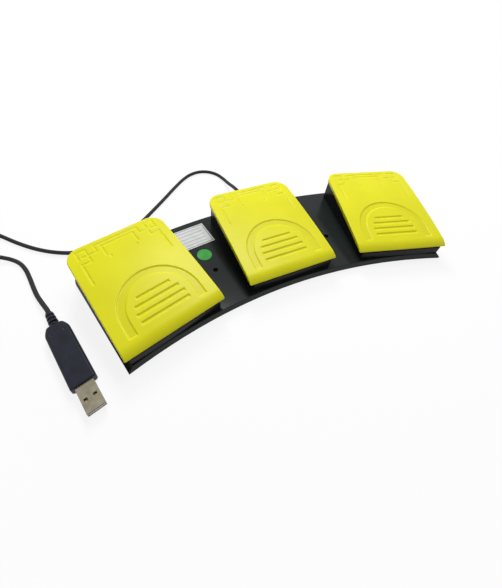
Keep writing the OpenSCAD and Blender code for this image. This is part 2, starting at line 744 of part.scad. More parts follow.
// Wires inside the base: a flat lead from each outer board to the middle one
module link_wire(k) {
    wire_r = lip_radius + wire_v;
    drop = board_z - plate_z - 0.3;
    a = [
        k * (wire_r * sin(fan_angle) - wire_at * cos(fan_angle)),
        wire_r * cos(fan_angle) + wire_at * sin(fan_angle)
    ];
    b = [k * wire_at, wire_r];
    run = norm(a - b);
    color(rubber) at_arc() {
        translate([b[0], b[1], plate_z + 0.3]) rotate([0, 0, atan2(a[1] - b[1], a[0] - b[0])])
            translate([0, -1.5, 0]) cube([run, 3, 1]);
        translate([b[0] - 1.5, b[1] - 0.6, plate_z + 0.3]) cube([3, 1.2, drop]);
        translate([a[0], a[1], plate_z + 0.3]) rotate([0, 0, -k * fan_angle]) translate([-1.5, -0.6, 0])
            cube([3, 1.2, drop]);
    }
}
module cord_socket() {
    color(white) at_pedal(0) translate([socket_at[0] - 4, switch_at_v + socket_at[1] - 2.5, switch_z])
        cube([8, 5, gland_z - switch_z + cord_r]);
}
module lead_run(a, b) {
    d = b - a;
    translate([a[0], a[1], 0]) rotate([0, 0, atan2(d[1], d[0])]) rotate([0, 90, 0])
        cylinder(d = cord_d, h = norm(d));
}
module inner_lead() {
    bend_a = [gland_x, well_rear - 6.8];
    bend_b = [socket_at[0], well_rear - 13.8];
    start = [gland_x, well_rear - gland_flange[1]];
    finish = [bend_b[0], switch_at_v + socket_at[1] + 2.5];
    color(rubber) at_pedal(0) translate([0, 0, gland_z]) {
        lead_run(start, bend_a);
        lead_run(bend_a, bend_b);
        lead_run(bend_b, finish);
        for (p = [bend_a, bend_b]) {
            translate([p[0], p[1], 0]) sphere(d = cord_d);
        }
    }
}

// Base: a thin curved deck with a hollow underside, its bottom plate, screws and feet
module sector(half_w) {
    n = [cos(fan_angle), -sin(fan_angle)];
    d = [sin(fan_angle), cos(fan_angle)];
    far = 2 * base_rear_r;
    a = n * half_w + d * lip_radius / 4;
    b = n * half_w + d * far;
    polygon([a, b, [-b[0], b[1]], [-a[0], a[1]]]);
}
module base_outline(inset, half_w) {
    difference() {
        intersection() {
            circle(base_rear_r - inset, $fn = big_fn);
            sector(half_w);
        }
        translate([0, front_centre_y]) circle(base_front_r + edge_draft + inset, $fn = big_fn);
    }
}
module end_bevels() {
    edge = end_u + cut;
    for (k = [-1, 1]) {
        rotate([0, 0, -k * fan_angle]) translate([0, 2 * base_rear_r, 0])
            rotate([90, 0, 0]) linear_extrude(2 * base_rear_r) polygon([
                [k * edge, deck_z + cut],
                [k * (end_u - end_bevel - cut), deck_z + cut],
                [k * edge, deck_z - end_bevel - cut]
            ]);
    }
}
module base_deck() {
    far = edge_draft * cut / base_h;
    color(black) at_arc() difference() {
        union() {
            difference() {
                intersection() {
                    translate([0, 0, foot_h])
                        cylinder(r1 = base_rear_r + edge_draft, r2 = base_rear_r, h = base_h, $fn = big_fn);
                    translate([0, 0, foot_h]) linear_extrude(base_h) sector(end_u);
                }
                translate([0, front_centre_y, foot_h - cut])
                    cylinder(r1 = base_front_r - far, r2 = base_front_r + edge_draft + far,
                        h = base_h + 2 * cut, $fn = big_fn);
                end_bevels();
                translate([0, 0, foot_h - cut]) linear_extrude(base_h - deck_wall + cut)
                    base_outline(rim_wall, cavity_end);
            }
            for (p = plate_screw_at) {
                fan_place(p) translate([0, 0, plate_z])
                    cylinder(d = plate_boss_d, h = cavity_z - plate_z + 0.5);
            }
            for (a = [-0.5, 0.5]) {
                fan_place([a, mount_at_v]) translate([0, 0, foot_h])
                    cylinder(d = mount_hole_d + 2 * sleeve_wall, h = base_h - 0.5);
            }
        }
        for (p = plate_screw_at) {
            fan_place(p) translate([0, 0, plate_z - cut])
                cylinder(d = plate_screw_d, h = plate_screw_len - plate_t + cut + 0.2);
        }
        for (a = [-0.5, 0.5]) {
            fan_place([a, mount_at_v]) translate([0, 0, foot_h - cut])
                cylinder(d = mount_hole_d, h = base_h + 2 * cut);
        }
        for (k = [-1:1]) {
            for (p = housing_screw_at) {
                pedal_place(k, p) translate([0, 0, foot_h])
                    cylinder(d = housing_screw_d + hole_clear, h = base_h + cut);
            }
            for (s = [-1, 1]) {
                pedal_place(k, [s * wire_at, wire_v]) translate([0, 0, foot_h]) wire_hole(base_h + cut);
            }
        }
    }
}
module fan_place(p) {
    rotate([0, 0, -p[0] * fan_angle]) translate([0, lip_radius + p[1], 0]) children();
}
module pedal_place(k, p) {
    rotate([0, 0, -k * fan_angle]) translate([p[0], lip_radius + p[1], 0]) children();
}
module bottom_plate() {
    color(black) at_arc() difference() {
        translate([0, 0, foot_h]) linear_extrude(plate_t)
            base_outline(rim_wall + plate_clear, cavity_end - plate_clear);
        for (p = plate_screw_at) {
            fan_place(p) translate([0, 0, foot_h - cut]) {
                cylinder(d = plate_screw_d + hole_clear, h = plate_t + 2 * cut);
                cylinder(d = plate_screw_head + hole_clear, h = cut + plate_t / 2);
            }
        }
        for (a = [-0.5, 0.5]) {
            fan_place([a, mount_at_v]) translate([0, 0, foot_h - cut])
                cylinder(d = mount_hole_d + 2 * sleeve_wall + hole_clear, h = plate_t + 2 * cut);
        }
        for (p = foot_at) {
            fan_place(p) translate([0, 0, foot_h - cut])
                cylinder(d = foot_d + hole_clear, h = cut + foot_recess);
        }
    }
}
module plate_screws() {
    color(steel) for (p = plate_screw_at) at_arc() fan_place(p) translate([0, 0, foot_h + 0.1]) {
        cylinder(d = plate_screw_head, h = plate_t / 2 - 0.1);
        cylinder(d = plate_screw_d - 2 * fit_gap, h = plate_screw_len - 0.1);
    }
}
module rubber_feet() {
    color(rubber) for (p = foot_at) at_arc() fan_place(p) cylinder(d = foot_d, h = foot_h + foot_recess);
}

// Stickers on the deck, both blank
module blank_label() {
    color(white) at_fan(-0.5, label_v) translate([-label_w / 2, 0, deck_z]) cube([label_w, label_h, sheet_t]);
}
module round_sticker() {
    color(green) at_fan(-0.5, sticker_v) translate([0, 0, deck_z]) cylinder(d = sticker_d, h = sheet_t);
}

// Strain relief in the middle housing's rear wall: flange, neck and a ribbed taper
module cable_gland() {
    rib_len = gland_len - 2;
    function taper(t) = gland_d + 1 - (gland_d + 1 - gland_end_d) * t;
    color(rubber) at_pedal(0) translate([gland_x, well_rear, gland_z]) rotate([-90, 0, 0]) {
        translate([0, 0, -gland_flange[1]]) cylinder(d = gland_flange[0], h = gland_flange[1]);
        translate([0, 0, -0.1]) cylinder(d = gland_d - 2 * fit_gap, h = housing_wall + 0.2);
        translate([0, 0, housing_wall]) cylinder(d = gland_d + 1.6, h = 2);
        translate([0, 0, housing_wall]) cylinder(d = gland_end_d, h = gland_len);
        for (i = [0:gland_ribs - 1]) {
            translate([0, 0, housing_wall + 2 + (i + 0.35) * rib_len / gland_ribs])
                cylinder(d1 = taper(i / gland_ribs), d2 = taper((i + 1) / gland_ribs),
                    h = 0.6 * rib_len / gland_ribs);
        }
    }
}

// The cord's free runs, its coil and the tie that holds the coil
lead_path = smooth(lead_route, 2);
tail_path = smooth(tail_route, 2);
coil_wind = 360 * coil_turns;
coil_angle = coil_layers * coil_wind + (coil_layers - 1) * 180;
function coil_layer(a) = floor(a / (coil_wind + 180));
function coil_inside(a) = a - coil_layer(a) * (coil_wind + 180);
function coil_share(a) = min(coil_inside(a) / coil_wind, 1);
function coil_radius(a) = coil_layer(a) % 2 == 0
    ? coil_out_r - coil_turns * coil_step * coil_share(a)
    : coil_in_r + coil_turns * coil_step * coil_share(a);
function coil_climb(a) = let (t = max(coil_inside(a) - coil_wind, 0) / 180) t * t * (3 - 2 * t);
function coil_point(a) = [
    coil_at[0] + coil_radius(a) * cos(a + 90),
    coil_at[1] + coil_radius(a) * sin(a + 90),
    coil_z + coil_rise * (coil_layer(a) + coil_climb(a))
];
coil_path = concat(
    [[coil_at[0] + cord_d, coil_at[1] + coil_out_r, coil_z]],
    [for (a = [0:15:coil_angle]) coil_point(a)],
    [[coil_at[0] + cord_d, coil_at[1] - coil_out_r, coil_top_z]]);
module cord_lead() {
    color(rubber) tube(lead_path, cord_r, 8);
}
module cord_tail() {
    color(rubber) tube(tail_path, cord_r, 8);
}
module cord_coil() {
    echo(coil_gap = least_gap(coil_path, 12, cord_d));
    echo(cord_length = path_len(lead_path) + path_len(coil_path) + path_len(tail_path));
    color(rubber) tube(coil_path, cord_r, 6);
}
module coil_tie() {
    slack = 0.3;
    far_side = coil_out_r + cord_r + slack;
    near_side = sqrt(pow(coil_in_r - cord_r, 2) - pow(tie_w / 2, 2)) - slack;
    in_w = far_side - near_side;
    in_h = (coil_layers - 1) * coil_rise + cord_d + 0.4;
    tie_x = coil_at[0] - far_side;
    color(rubber) translate([tie_x, coil_at[1] - tie_w / 2, 0]) difference() {
        translate([-tie_t, 0, 0]) cube([in_w + 2 * tie_t, tie_w, in_h + 2 * tie_t]);
        translate([0, -cut, tie_t]) cube([in_w, tie_w + 2 * cut, in_h]);
    }
}

// Plug: ribbed boot, moulded body with a board inside, metal shell, tongue and contacts
body_x = boot_len;
tip_x = boot_len + plug_len;
shell_in = 6;
neck_w = 11;
shoulder = 8;
board_room = [38, 13.4, 4];
room_x = tip_x - shell_in - board_room[0];
boot_ribs = 4;
module plug_boot() {
    pitch = boot_len / boot_ribs;
    color(plug_black) at_plug() rotate([0, 90, 0]) {
        cylinder(d = cord_d + 1.2, h = boot_len);
        for (i = [0:boot_ribs - 1]) {
            translate([0, 0, (i + 0.3) * pitch])
                cylinder(d1 = cord_d + 2 + 0.4 * i, d2 = cord_d + 2.4 + 0.4 * i, h = 0.7 * pitch);
        }
    }
}
module plug_body() {
    color(plug_black) at_plug() difference() {
        translate([body_x, 0, -plug_t / 2]) linear_extrude(plug_t) polygon([
            [0, -neck_w / 2], [shoulder, -plug_w / 2], [plug_len, -plug_w / 2],
            [plug_len, plug_w / 2], [shoulder, plug_w / 2], [0, neck_w / 2]
        ]);
        translate([tip_x - shell_in, -shell_w / 2, -shell_t / 2]) cube([shell_in + cut, shell_w, shell_t]);
        translate([room_x, -board_room[1] / 2, -board_room[2] / 2])
            cube([board_room[0] + cut, board_room[1], board_room[2]]);
    }
}
module plug_board() {
    color(board_green) at_plug() translate([room_x + 1, 0.3 - board_room[1] / 2, -board_room[2] / 2])
        cube([board_room[0] - 1.5, board_room[1] - 0.6, 1.2]);
}
module plug_shell() {
    w = shell_w - 2 * shell_wall;
    t = shell_t - 2 * shell_wall;
    color(steel) at_plug() difference() {
        translate([tip_x - shell_in, -shell_w / 2, -shell_t / 2])
            cube([shell_in + shell_len, shell_w, shell_t]);
        translate([tip_x - shell_in - cut, -w / 2, -t / 2]) cube([shell_in + shell_len + 2 * cut, w, t]);
        for (s = [-1, 1]) {
            translate([tip_x + shell_len - 9.5, s * 3 - 1.2, -shell_t]) cube([2.4, 2.4, 2 * shell_t]);
        }
    }
}
tongue_t = 1.9;
module plug_tongue() {
    w = shell_w - 2 * shell_wall;
    color(white) at_plug() translate([tip_x - shell_in, -w / 2, shell_wall - shell_t / 2]) {
        cube([shell_in + shell_len - 0.4, w, tongue_t]);
        cube([shell_in - 1, w, shell_t - 2 * shell_wall]);
    }
}
module plug_contacts() {
    color([0.85, 0.68, 0.30]) at_plug() for (u = [-3.5, -1, 1, 3.5]) {
        translate([tip_x + 1, u - 0.6, shell_wall - shell_t / 2 + tongue_t]) cube([shell_len - 3, 1.2, 0.25]);
    }
}

base_deck();
bottom_plate();
plate_screws();
rubber_feet();
blank_label();
round_sticker();
housing(-1);  // left_housing
housing(0);  // middle_housing
housing(1);  // right_housing
housing_screws();
pedal_cover(-1);  // left_pedal_cover
pedal_cover(0);  // middle_pedal_cover
pedal_cover(1);  // right_pedal_cover
pedal_frame(-1);  // left_pedal_frame
pedal_frame(0);  // middle_pedal_frame
pedal_frame(1);  // right_pedal_frame
cover_screws(-1);  // left_cover_screws
cover_screws(0);  // middle_cover_screws
cover_screws(1);  // right_cover_screws
hinge_pins(-1);  // left_hinge_pins
hinge_pins(0);  // middle_hinge_pins
hinge_pins(1);  // right_hinge_pins
return_spring(-1);  // left_return_spring
return_spring(0);  // middle_return_spring
return_spring(1);  // right_return_spring
switch_board(-1);  // left_switch_board
switch_board(0);  // middle_switch_board
switch_board(1);  // right_switch_board
switch_body(-1);  // left_switch_body
switch_body(0);  // middle_switch_body
switch_body(1);  // right_switch_body
switch_button(-1);  // left_switch_button
switch_button(0);  // middle_switch_button
switch_button(1);  // right_switch_button
board_screws();
stop_pads();
link_wire(-1);  // left_link_wire
link_wire(1);  // right_link_wire
cord_socket();
inner_lead();
cable_gland();
cord_lead();
cord_coil();
coil_tie();
cord_tail();
plug_boot();
plug_body();
plug_board();
plug_shell();
plug_tongue();
plug_contacts();
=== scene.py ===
import json
import math
import bmesh
import bpy
import numpy as np
from mathutils import Matrix, Vector


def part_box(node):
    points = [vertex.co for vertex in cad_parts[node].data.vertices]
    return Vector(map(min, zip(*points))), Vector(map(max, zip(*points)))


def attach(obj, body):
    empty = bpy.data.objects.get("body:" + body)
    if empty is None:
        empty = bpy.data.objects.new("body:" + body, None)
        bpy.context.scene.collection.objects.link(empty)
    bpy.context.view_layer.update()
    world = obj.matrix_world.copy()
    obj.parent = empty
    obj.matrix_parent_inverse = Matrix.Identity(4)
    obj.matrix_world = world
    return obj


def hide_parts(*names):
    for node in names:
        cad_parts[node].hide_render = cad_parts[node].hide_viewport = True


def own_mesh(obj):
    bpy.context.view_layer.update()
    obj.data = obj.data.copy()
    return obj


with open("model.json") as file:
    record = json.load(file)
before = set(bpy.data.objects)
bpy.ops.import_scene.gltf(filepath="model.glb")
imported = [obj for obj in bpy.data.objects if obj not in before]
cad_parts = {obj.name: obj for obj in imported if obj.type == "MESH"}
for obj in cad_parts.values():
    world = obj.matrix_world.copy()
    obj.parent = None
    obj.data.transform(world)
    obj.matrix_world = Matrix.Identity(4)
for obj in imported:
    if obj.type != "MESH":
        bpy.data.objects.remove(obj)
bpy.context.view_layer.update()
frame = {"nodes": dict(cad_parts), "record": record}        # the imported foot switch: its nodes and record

scene = bpy.context.scene
scene.view_settings.view_transform = "Standard"
print("stage 1: frame loaded,", len(frame["nodes"]), "solids")

# Where things are: pedals stand on an arc, each turned by one fan angle
layout = dict(fanAngle=math.radians(15.4), lipRadius=0.390, sides={"left": -1, "middle": 0, "right": 1})
coverLow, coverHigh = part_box("middle_pedal_cover")
arcY = coverLow[1] - layout["lipRadius"]             # centre of the arc


def onPedal(k, points):
    # (across, behind the lip, up) turned k fan angles about the arc's centre
    turn = -k * layout["fanAngle"]
    x = points[..., 0]
    y = points[..., 1] + layout["lipRadius"]
    turnedX = math.cos(turn) * x - math.sin(turn) * y
    turnedY = math.sin(turn) * x + math.cos(turn) * y + arcY
    return np.stack([turnedX, turnedY, points[..., 2]], axis=-1)


# Camera, floor and light
cameraSettings = dict(
    place=(-0.12728, -0.16089, 0.21206), right=(0.9195, -0.3915, 0.0348), up=(0.2605, 0.6731, 0.6921),
    lens=19.34, shift=(0.0529, -0.0800), clipStart=0.01)
lightSettings = dict(
    worldFill=0.22, floorHalf=3.0, paper=(0.97, 0.97, 0.97, 1), paperRough=0.9,
    floorGlow=0.86, glowReach=(0.18, 0.42),
    underBase=dict(behindLips=0.0495, halfDepth=0.046, halfWidth=0.135),
    lamps=dict(
        rearBox=dict(power=19.0, place=(0.20, 1.20, 1.02), along=(1, 0, 0), size=(0.6, 0.6),
                     mirrored=False),
        overheadBox=dict(power=2.1, place=(0.15, 0.22, 0.69), along=(1, -1, 0), size=(0.4, 0.125),
                         mirrored=True)))


def photoCamera(s):
    # axes from right and up, squared to each other; looks along minus back
    data = bpy.data.cameras.new("photoCamera")
    data.lens = s["lens"]
    data.shift_x, data.shift_y = s["shift"]
    data.clip_start = s["clipStart"]
    right = Vector(s["right"]).normalized()
    back = right.cross(Vector(s["up"])).normalized()
    turn = Matrix((right, back.cross(right), back)).transposed().to_4x4()
    camera = bpy.data.objects.new("photoCamera", data)
    camera.matrix_world = Matrix.Translation(s["place"]) @ turn
    scene.collection.objects.link(camera)
    scene.camera = camera


def addNode(tree, kind, inputs=None, **settings):
    # a shader node with its own settings and the values of its free sockets
    made = tree.nodes.new("ShaderNode" + kind)
    for key, value in settings.items():
        setattr(made, key, value)
    for key, value in (inputs or {}).items():
        made.inputs[key].default_value = value
    return made


def mathNode(tree, operation, *values):
    # a Math node fed by numbers or by other nodes' outputs
    made = addNode(tree, "Math", operation=operation)
    for socket, value in zip(made.inputs, values):
        if isinstance(value, float):
            socket.default_value = value
        else:
            tree.links.new(value, socket)
    return made.outputs[0]


def seenDirectly(tree):
    # 1 for a ray from the eye, off gloss or through glass, 0 for the light on matt surfaces
    path = addNode(tree, "LightPath").outputs
    eyeOrGloss = mathNode(tree, "MAXIMUM", path["Is Camera Ray"], path["Is Glossy Ray"])
    return mathNode(tree, "MAXIMUM", eyeOrGloss, path["Is Transmission Ray"])


def whiteWorld(s):
    # strength 1 to the eye, to gloss and through glass, and a softer fill to matt surfaces
    world = bpy.data.worlds.new("studioWorld")
    scene.world = world
    world.use_nodes = True
    tree = world.node_tree
    back = tree.nodes["Background"]
    back.inputs["Color"].default_value = (1, 1, 1, 1)
    level = addNode(tree, "MapRange", {"To Min": s["worldFill"], "To Max": 1.0})
    tree.links.new(seenDirectly(tree), level.inputs["Value"])
    tree.links.new(level.outputs["Result"], back.inputs["Strength"])


def softBox(name, s):
    # a rectangular lamp turned to the origin, its width along a direction; gloss shows it where mirrored
    data = bpy.data.lights.new(name, "AREA")
    data.energy = s["power"]
    data.shape = "RECTANGLE"
    data.size, data.size_y = s["size"]
    back = Vector(s["place"]).normalized()
    across = back.cross(Vector(s["along"])).normalized()
    turn = Matrix((across.cross(back), across, back)).transposed().to_4x4()
    lamp = bpy.data.objects.new(name, data)
    lamp.matrix_world = Matrix.Translation(s["place"]) @ turn
    lamp.visible_glossy = s["mirrored"]
    scene.collection.objects.link(lamp)


# Mesh helpers
hardEdge = 35            # degrees between two faces, from which their edge stays sharp


def gridFaces(rows, columns, around=False):
    # quads between neighbouring points of a grid, closed across its columns where around is set
    index = np.arange(rows * columns).reshape(rows, columns)
    if around:
        index = np.concatenate([index, index[:, :1]], axis=1)
    corners = [index[:-1, :-1], index[:-1, 1:], index[1:, 1:], index[1:, :-1]]
    return np.stack(corners, axis=-1).reshape(-1, 4)


def tubeFaces(rows, sides):
    # quads round a tube's rings, and a flat cap at each end
    last = (rows - 1) * sides
    caps = [list(range(sides))[::-1], list(range(last, last + sides))]
    return gridFaces(rows, sides, around=True).tolist() + caps


def makePiece(name, points, faces, finish, body, nodes=(), sharpAngle=hardEdge):
    # a mesh object at the origin, smooth up to the sharp angle, riding on a body
    mesh = bpy.data.meshes.new(name)
    mesh.from_pydata(np.asarray(points).reshape(-1, 3).tolist(), [], faces)
    mesh.materials.append(finish)
    return finishPiece(name, mesh, body, nodes, sharpAngle)


def finishPiece(name, mesh, body, nodes, sharpAngle):
    # the mesh smoothed and linked as an object that rides and stands for its solids
    mesh.polygons.foreach_set("use_smooth", np.ones(len(mesh.polygons), bool))
    mesh.set_sharp_from_angle(angle=math.radians(sharpAngle))
    mesh.update()
    piece = bpy.data.objects.new(name, mesh)
    scene.collection.objects.link(piece)
    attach(piece, body)
    if nodes:
        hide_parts(*nodes)
    return piece


def tubeSurface(path, radius, sides):
    # a circle carried along the path, square to it, with a flat cap at each end
    along = np.gradient(path, axis=0)
    along /= np.linalg.norm(along, axis=1, keepdims=True)
    side = np.cross([0.0, 0.0, 1.0], along)
    side /= np.linalg.norm(side, axis=1, keepdims=True)
    upright = np.cross(along, side)
    turn = np.linspace(0, 2 * math.pi, sides, endpoint=False)
    reach = np.broadcast_to(radius, len(path))[:, None, None]
    ring = np.cos(turn)[None, :, None] * side[:, None] + np.sin(turn)[None, :, None] * upright[:, None]
    return path[:, None] + reach * ring, tubeFaces(len(path), sides)


def smoothRoute(route, steps):
    # cubics from point to point, whose slope at each point is half the step between its neighbours
    p = np.asarray(route, float)
    before = np.concatenate([p[:1], p[:-2]])[:, None]
    after = np.concatenate([p[2:], p[-1:]])[:, None]
    first, second = p[:-1, None], p[1:, None]
    t = np.linspace(0, 1, steps, endpoint=False)[None, :, None]
    square = (2 * before - 5 * first + 4 * second - after) * t ** 2
    cube = (3 * first - before - 3 * second + after) * t ** 3
    curve = 0.5 * (2 * first + (second - before) * t + square + cube)
    return np.concatenate([curve.reshape(-1, 3), p[-1:]])


def smoothStep(share):
    # 0 to 1 with level ends: 3 t squared less 2 t cubed
    share = np.clip(share, 0, 1)
    return share ** 2 * (3 - 2 * share)


# Finishes
def fromScreen(red, green, blue):
    # a screen colour, 0 to 255, as the linear value that a shader takes, by the standard screen curve
    c = np.array([red, green, blue]) / 255
    return (*np.where(c > 0.04045, ((c + 0.055) / 1.055) ** 2.4, c / 12.92).tolist(), 1.0)


def newFinish(name):
    # a node material, its tree and its main shader
    finish = bpy.data.materials.new(name)
    finish.use_nodes = True
    tree = finish.node_tree
    return finish, tree, tree.nodes["Principled BSDF"]


def mixColours(tree, factor, first, second):
    # a linked colour passing to a fixed one; the node's colour sockets are 6 and 7, its colour output 2
    made = addNode(tree, "Mix", data_type="RGBA")
    tree.links.new(factor, made.inputs[0])
    tree.links.new(first, made.inputs[6])
    made.inputs[7].default_value = second
    return made.outputs[2]


noiseSettings = dict(cloudDetail=3.0, grainDetail=2.0, tintEnds=(0.3, 0.7))


def mouldedFinish(name, s):
    # slow clouds move the colour, fine grain moves the roughness and the bump
    finish, tree, shader = newFinish(name)
    place = addNode(tree, "TexCoord")
    clouds = addNode(tree, "TexNoise", {"Scale": s["clouds"], "Detail": noiseSettings["cloudDetail"]})
    grain = addNode(tree, "TexNoise", {"Scale": s["grain"], "Detail": noiseSettings["grainDetail"]})
    tint = addNode(tree, "ValToRGB")
    stops = tint.color_ramp.elements
    stops[0].position, stops[1].position = noiseSettings["tintEnds"]
    stops[0].color = fromScreen(*s["dark"])
    stops[1].color = fromScreen(*s["light"])
    rough = addNode(tree, "MapRange", {"To Min": s["rough"][0], "To Max": s["rough"][1]})
    bump = addNode(tree, "Bump", {"Strength": 1.0, "Distance": s["depth"]})
    for texture in (clouds, grain):
        tree.links.new(place.outputs["Object"], texture.inputs["Vector"])
    tree.links.new(clouds.outputs["Fac"], tint.inputs["Fac"])
    tree.links.new(grain.outputs["Fac"], rough.inputs["Value"])
    tree.links.new(grain.outputs["Fac"], bump.inputs["Height"])
    tree.links.new(tint.outputs["Color"], shader.inputs["Base Color"])
    tree.links.new(rough.outputs["Result"], shader.inputs["Roughness"])
    tree.links.new(bump.outputs["Normal"], shader.inputs["Normal"])
    shader.inputs["Metallic"].default_value = s.get("metal", 0.0)
    shader.inputs["Specular IOR Level"].default_value = s.get("gloss", 0.5)
    return finish


def yellowFinish(s):
    # moulded plastic whose sunk lines get painted shade: a darker colour mixed in by the cover's own relief attribute
    finish = mouldedFinish("yellowCover", s)
    tree = finish.node_tree
    shader = tree.nodes["Principled BSDF"]
    # painted shade: the sunk colour is mixed in where the relief attribute marks a sunk line
    sunk = addNode(tree, "Attribute", attribute_name="relief")
    share = mathNode(tree, "MULTIPLY", sunk.outputs["Fac"], s["grooveShadeShare"])
    plain = shader.inputs["Base Color"].links[0].from_socket
    shaded = mixColours(tree, share, plain, fromScreen(*s["sunk"]))
    tree.links.new(shaded, shader.inputs["Base Color"])
    return finish


def labelFinish(s):
    # white film with a thin frame line and plain ruled rows; x and y run from the label's own middle
    finish = mouldedFinish("labelSheet", s)
    tree = finish.node_tree
    shader = tree.nodes["Principled BSDF"]

    place = addNode(tree, "TexCoord")
    own = addNode(tree, "Mapping", {"Location": s["middle"], "Rotation": (0, 0, s["turn"])},
                  vector_type="TEXTURE")
    parts = addNode(tree, "SeparateXYZ")
    tree.links.new(place.outputs["Object"], own.inputs["Vector"])
    tree.links.new(own.outputs["Vector"], parts.inputs["Vector"])
    acrossX = mathNode(tree, "ABSOLUTE", parts.outputs["X"])
    acrossY = mathNode(tree, "ABSOLUTE", parts.outputs["Y"])
    overX = mathNode(tree, "SUBTRACT", acrossX, s["half"][0] - s["margin"])
    overY = mathNode(tree, "SUBTRACT", acrossY, s["half"][1] - s["margin"])
    fromFrame = mathNode(tree, "ABSOLUTE", mathNode(tree, "MAXIMUM", overX, overY))
    onFrame = mathNode(tree, "LESS_THAN", fromFrame, s["line"] / 2)
    toRow = mathNode(tree, "PINGPONG", parts.outputs["Y"], s["rowStep"] / 2)
    onRow = mathNode(tree, "LESS_THAN", toRow, s["rowLine"] / 2)
    inWidth = mathNode(tree, "LESS_THAN", acrossX, s["rowReach"][0])
    inHeight = mathNode(tree, "LESS_THAN", acrossY, s["rowReach"][1])
    onInk = mathNode(tree, "MULTIPLY", mathNode(tree, "MULTIPLY", onRow, inWidth), inHeight)
    plain = shader.inputs["Base Color"].links[0].from_socket
    ruled = mixColours(tree, onInk, plain, fromScreen(*s["rowInk"]))
    tree.links.new(mixColours(tree, onFrame, ruled, fromScreen(*s["ink"])), shader.inputs["Base Color"])
    return finish


def labelPlace():
    # the label's middle and turn: half a fan angle left of the middle pedal
    low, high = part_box("blank_label")
    middle = ((low[0] + high[0]) / 2, (low[1] + high[1]) / 2, 0.0)
    return middle, layout["fanAngle"] / 2


labelMiddle, labelTurn = labelPlace()
finishSettings = {
    "yellow_cover": dict(
        dark=(227, 223, 12), light=(235, 231, 18), clouds=28, grain=2600, rough=(0.28, 0.40),
        # sunk and its share: painted shade, a darker colour mixed into the sunk lines
        depth=0.00001, gloss=0.32, sunk=(196, 190, 8), grooveShadeShare=0.22),
    "black_gloss": dict(
        dark=(31, 35, 35), light=(37, 42, 42), clouds=18, grain=900, rough=(0.12, 0.22),
        depth=0.000006, gloss=0.14),
    "housing_black": dict(
        dark=(26, 26, 27), light=(32, 32, 33), clouds=18, grain=1100, rough=(0.22, 0.34),
        depth=0.000006, gloss=0.06),
    "black_plastic": dict(
        dark=(16, 16, 17), light=(24, 24, 25), clouds=30, grain=3200, rough=(0.42, 0.6),
        depth=0.00002, gloss=0.3),
    "plug_plastic": dict(
        dark=(20, 22, 33), light=(30, 33, 47), clouds=150, grain=3000, rough=(0.26, 0.44),
        depth=0.00002, gloss=0.24),
    "steel": dict(
        dark=(124, 119, 102), light=(152, 146, 128), clouds=140, grain=2400, rough=(0.26, 0.42),
        depth=0.000008, metal=1.0),
    "rubber": dict(
        dark=(18, 18, 18), light=(28, 28, 29), clouds=50, grain=2200, rough=(0.5, 0.7),
        depth=0.00002, gloss=0.35),
    "label_sheet": dict(
        dark=(200, 203, 202), light=(216, 218, 217), clouds=120, grain=1500, rough=(0.3, 0.42),
        depth=0.000004, gloss=0.3, middle=labelMiddle, turn=labelTurn, half=(0.0175, 0.013),
        margin=0.0014, line=0.0005, ink=(60, 62, 64), rowStep=0.0042, rowLine=0.00045,
        rowReach=(0.013, 0.009), rowInk=(126, 129, 131)),
    "green_sheet": dict(
        dark=(48, 142, 52), light=(64, 160, 68), clouds=160, grain=1500, rough=(0.3, 0.42),
        depth=0.000004, gloss=0.25),
    "circuit_board": dict(
        dark=(14, 70, 36), light=(30, 104, 58), clouds=420, grain=1800, rough=(0.3, 0.45),
        depth=0.00001),
    "white_plastic": dict(
        dark=(214, 214, 208), light=(230, 230, 225), clouds=70, grain=2600, rough=(0.36, 0.5),
        depth=0.00001),
    "brass": dict(
        dark=(196, 158, 72), light=(224, 188, 104), clouds=200, grain=2400, rough=(0.2, 0.34),
        depth=0.000006, metal=1.0),
}
finishes = {slot: mouldedFinish(slot, s) for slot, s in finishSettings.items()
            if slot not in ("yellow_cover", "label_sheet")}
finishes["yellow_cover"] = yellowFinish(finishSettings["yellow_cover"])
finishes["label_sheet"] = labelFinish(finishSettings["label_sheet"])


def dressSolids():
    # each carried-over solid takes the finish of its slot in the record, the housings a duller black
    for part in frame["record"]["subparts"]:
        slot = "housing_black" if part["node"].endswith("_housing") else part["material_slot"]
        for place in frame["nodes"][part["node"]].material_slots:
            place.material = finishes[slot]


def underBase(tree, s, place):
    # 1 below the base: in its band about the arc's centre, between its ends and behind that centre
    fromArc = addNode(tree, "VectorMath", {1: (0.0, arcY, 0.0)}, operation="DISTANCE")
    parts = addNode(tree, "SeparateXYZ")
    for reader in (fromArc, parts):
        tree.links.new(place, reader.inputs[0])
    bandMiddle = layout["lipRadius"] + s["behindLips"]
    inBand = mathNode(tree, "COMPARE", fromArc.outputs["Value"], bandMiddle, s["halfDepth"])
    betweenEnds = mathNode(tree, "COMPARE", parts.outputs["X"], 0.0, s["halfWidth"])
    behindArc = mathNode(tree, "GREATER_THAN", parts.outputs["Y"], float(arcY))
    return mathNode(tree, "MULTIPLY", mathNode(tree, "MULTIPLY", inBand, betweenEnds), behindArc)


